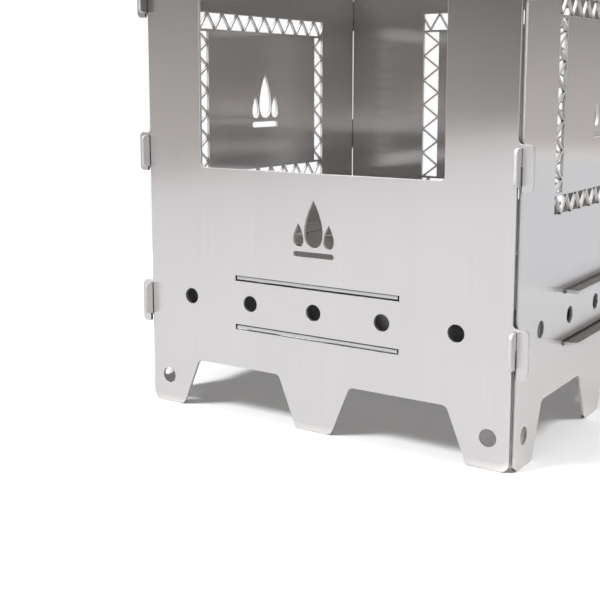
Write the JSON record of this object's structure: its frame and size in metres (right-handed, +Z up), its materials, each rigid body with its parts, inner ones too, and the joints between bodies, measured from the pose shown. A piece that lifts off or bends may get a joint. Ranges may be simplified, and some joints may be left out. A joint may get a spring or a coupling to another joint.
{
  "type": "box stove",
  "caption": "Flat-pack steel box stove: hooked walls with feet, air holes and a feed window, a fire grate over an ash plate, and crossed pot rests.",
  "frame": {"origin": "on the ground, midway between opposite walls", "axes": "+Z up; the wall with the feed window faces -Y; the plate tabs stand out along X"},
  "size_m": [0.2718, 0.2676, 0.31],
  "materials": {
    "front_panel": "fine brushed stainless sheet, laser-cut edges",
    "rear_panel": "fine brushed stainless sheet, laser-cut edges",
    "left_panel": "fine brushed stainless sheet, laser-cut edges",
    "right_panel": "fine brushed stainless sheet, laser-cut edges",
    "fire_grate": "fine brushed stainless sheet, laser-cut edges",
    "ash_plate": "fine brushed stainless sheet, laser-cut edges",
    "pot_rest_lower": "fine brushed stainless sheet, laser-cut edges",
    "pot_rest_upper": "fine brushed stainless sheet, laser-cut edges"
  },
  "bodies": {
    "stove": {"front_panel": "front_panel", "rear_panel": "rear_panel", "left_panel": "left_panel", "right_panel": "right_panel", "fire_grate": "fire_grate", "ash_plate": "ash_plate"},
    "lower_rest": {"pot_rest_lower": "pot_rest_lower"},
    "upper_rest": {"pot_rest_upper": "pot_rest_upper"}
  },
  "joints": [
    {"name": "lower_rest_lift", "type": "slide", "parent": "stove", "child": "lower_rest", "axis": [0, 0, 1], "range_m": [0, 0.04]},
    {"name": "upper_rest_lift", "type": "slide", "parent": "lower_rest", "child": "upper_rest", "axis": [0, 0, 1], "range_m": [0, 0.04]}
  ]
}
